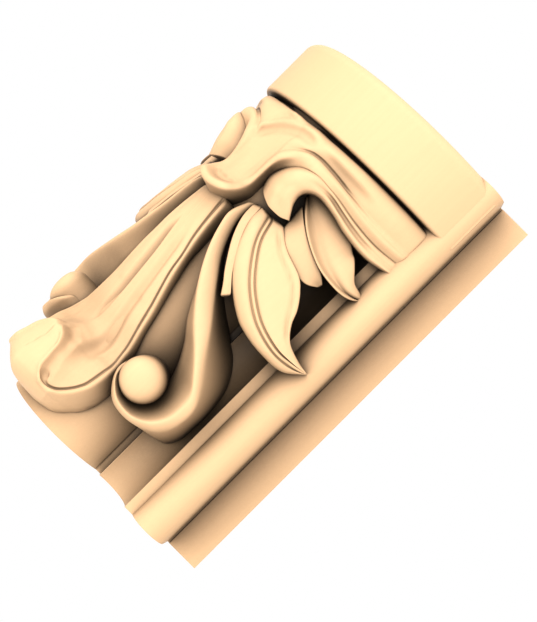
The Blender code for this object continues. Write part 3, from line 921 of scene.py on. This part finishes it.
def makeCornerLeaf():
    d = cornerLeaf
    rings = []
    for z, foot, rim, inner, middle, dish in d["levels"]:
        hollow = ((rim[0] + inner[0]) / 2, (rim[1] + inner[1]) / 2)
        face = [
            onCorner(*rim, z),
            onCorner(hollow[0], hollow[1] - dish, z),
            onCorner(*inner, z),
            onCorner(inner[0] / 2, (inner[1] + middle) / 2 + inner[0] * 0.05, z),
            onCorner(0, middle, z),
        ]
        face = smoothPath(face[:3], d["columns"]) + smoothPath(face[2:], 6)[1:]
        back = [
            onCorner(0, -8, z),
            onCorner(8, -8, z),
            onShaft(foot, z, -1.0),
            onCorner(rim[0] + 0.3, rim[1] - 1.5, z),
        ]
        rings.append(back + face)
    rails = [smoothPath(column, d["steps"]) for column in zip(*rings)]
    lines = [
        {"points": d["rim"], "width": 2.4, "depth": -0.8, "plane": "corner", "count": 120},
        {"points": d["groove"], "width": 1.0, "depth": 1.0, "plane": "corner", "bothWings": False, "count": 120},
        {"points": d["sFoot"], "width": 2.4, "depth": 1.0, "plane": "corner", "bothWings": False, "taper": 3.0},
        {
            "points": d["lens"],
            "width": 6.0,
            "leftWidth": 0.8,
            "depth": 2.3,
            "plane": "corner",
            "bothWings": False,
            "taper": 14.0,
        },
        {"points": d["hollow"], "width": 5.5, "depth": 2.0, "plane": "corner", "bothWings": False, "taper": 20.0},
        {"points": d["crease"], "width": 0.7, "depth": 0.4, "plane": "corner", "bothWings": False},
        {"points": d["flapLine"], "width": 0.8, "depth": 0.45, "plane": "corner", "bothWings": False},
        {"points": d["dip"], "width": 3.0, "depth": 0.5, "plane": "corner", "bothWings": False},
    ]
    finishPiece(openCage("corner_leaf", rails), smoothing=2, lines=lines, patches=d["patches"])


def openCage(name, rails):  # like cage, but open along the diagonal plane, where the mirror closes it
    bm = bmesh.new()
    rings = [[bm.verts.new(point) for point in station] for station in zip(*rails)]
    for ring, following in zip(rings, rings[1:]):
        for here in range(len(ring) - 1):
            bm.faces.new((ring[here], ring[here + 1], following[here + 1], following[here]))
    bm.faces.new(rings[0])
    bm.faces.new(rings[-1])
    bmesh.ops.recalc_face_normals(bm, faces=bm.faces)
    mesh = bpy.data.meshes.new(name)
    bm.to_mesh(mesh)
    bm.free()
    piece = bpy.data.objects.new(name, mesh)
    bpy.context.scene.collection.objects.link(piece)
    return piece


makeCornerLeaf()
print("corner leaf made")

# The photograph looks square at the right wing with the camera rolled 45 degrees.
view = {
    "focalPixels": 1400,
    "pictureHeight": 622,
    "sensor": 36,
    "place": (42.56, 119.23, 711.9),
    "from": (54.25, 120),  # what x and z of the place are counted back from
}


def makeCamera():
    camera = bpy.data.objects.new("photo_camera", bpy.data.cameras.new("photo_camera"))
    camera.data.lens = view["sensor"] * view["focalPixels"] / view["pictureHeight"]
    camera.data.sensor_width = view["sensor"]
    camera.data.clip_start = 0.01
    x, z, out = view["place"]
    fromX, fromZ = view["from"]
    place = Vector(((x - fromX) * mm, -(out + body["wall"]) * mm, (z - fromZ) * mm))
    right = Vector((half, 0, half))
    up = Vector((-half, 0, half))
    turn = Matrix((right, up, towardsViewer)).transposed().to_4x4()
    camera.matrix_world = Matrix.Translation(place) @ turn
    bpy.context.scene.collection.objects.link(camera)
    bpy.context.scene.camera = camera


# Soft light all round, strongest from above and to the left of the camera, as a wide window gives.
studio = {
    "around": 0.8,
    "window": 3.9,
    "windowFrom": (-0.40, -0.83, 0.40),
    "behind": 0.9,
    "behindFrom": (0.3, 0.9, 0.3),
    "floorDrop": 0.6,
    "floorRadius": 1.1,
    "floorColour": (0.85, 0.85, 0.84, 1),
    "falloff": 2.0,
}


def makeGlow(nodes, links, direction, strength):  # brightness falling off round one direction
    where = nodes.new("ShaderNodeTexCoord")
    facing = nodes.new("ShaderNodeVectorMath")
    facing.operation = "DOT_PRODUCT"
    facing.inputs[1].default_value = Vector(direction).normalized()
    links.new(where.outputs["Generated"], facing.inputs[0])
    front = nodes.new("ShaderNodeMath")
    front.operation = "MAXIMUM"
    front.inputs[1].default_value = 0.0
    links.new(facing.outputs["Value"], front.inputs[0])
    soft = nodes.new("ShaderNodeMath")
    soft.operation = "POWER"
    soft.inputs[1].default_value = studio["falloff"]
    links.new(front.outputs["Value"], soft.inputs[0])
    scale = nodes.new("ShaderNodeMath")
    scale.operation = "MULTIPLY"
    scale.inputs[1].default_value = strength
    links.new(soft.outputs["Value"], scale.inputs[0])
    return scale.outputs["Value"]


def makeStudio():
    world = bpy.data.worlds.new("white studio")
    bpy.context.scene.world = world
    world.use_nodes = True
    nodes, links = world.node_tree.nodes, world.node_tree.links
    window = makeGlow(nodes, links, studio["windowFrom"], studio["window"])
    behind = makeGlow(nodes, links, studio["behindFrom"], studio["behind"])
    total = nodes.new("ShaderNodeMath")
    total.operation = "ADD"
    links.new(window, total.inputs[0])
    links.new(behind, total.inputs[1])
    level = nodes.new("ShaderNodeMath")
    level.operation = "ADD"
    level.inputs[1].default_value = studio["around"]
    links.new(total.outputs["Value"], level.inputs[0])
    dome = nodes["Background"]
    dome.inputs["Color"].default_value = (1, 1, 1, 1)
    links.new(level.outputs["Value"], dome.inputs["Strength"])
    seen = nodes.new("ShaderNodeBackground")
    seen.inputs["Color"].default_value = (1, 1, 1, 1)
    ray = nodes.new("ShaderNodeLightPath")
    mix = nodes.new("ShaderNodeMixShader")
    links.new(ray.outputs["Is Camera Ray"], mix.inputs["Fac"])
    links.new(dome.outputs["Background"], mix.inputs[1])
    links.new(seen.outputs["Background"], mix.inputs[2])
    links.new(mix.outputs["Shader"], nodes["World Output"].inputs["Surface"])

    bpy.ops.mesh.primitive_circle_add(
        vertices=96, radius=studio["floorRadius"], fill_type="NGON", location=(0, 0, -studio["floorDrop"])
    )
    floor = bpy.context.object
    floor.name = "floor"
    pale = bpy.data.materials.new("pale floor")
    pale.use_nodes = True
    pale.node_tree.nodes["Principled BSDF"].inputs["Base Color"].default_value = studio["floorColour"]
    floor.data.materials.append(pale)
    bpy.context.scene.view_settings.view_transform = "Standard"


makeCamera()
makeStudio()
print("camera and studio made")
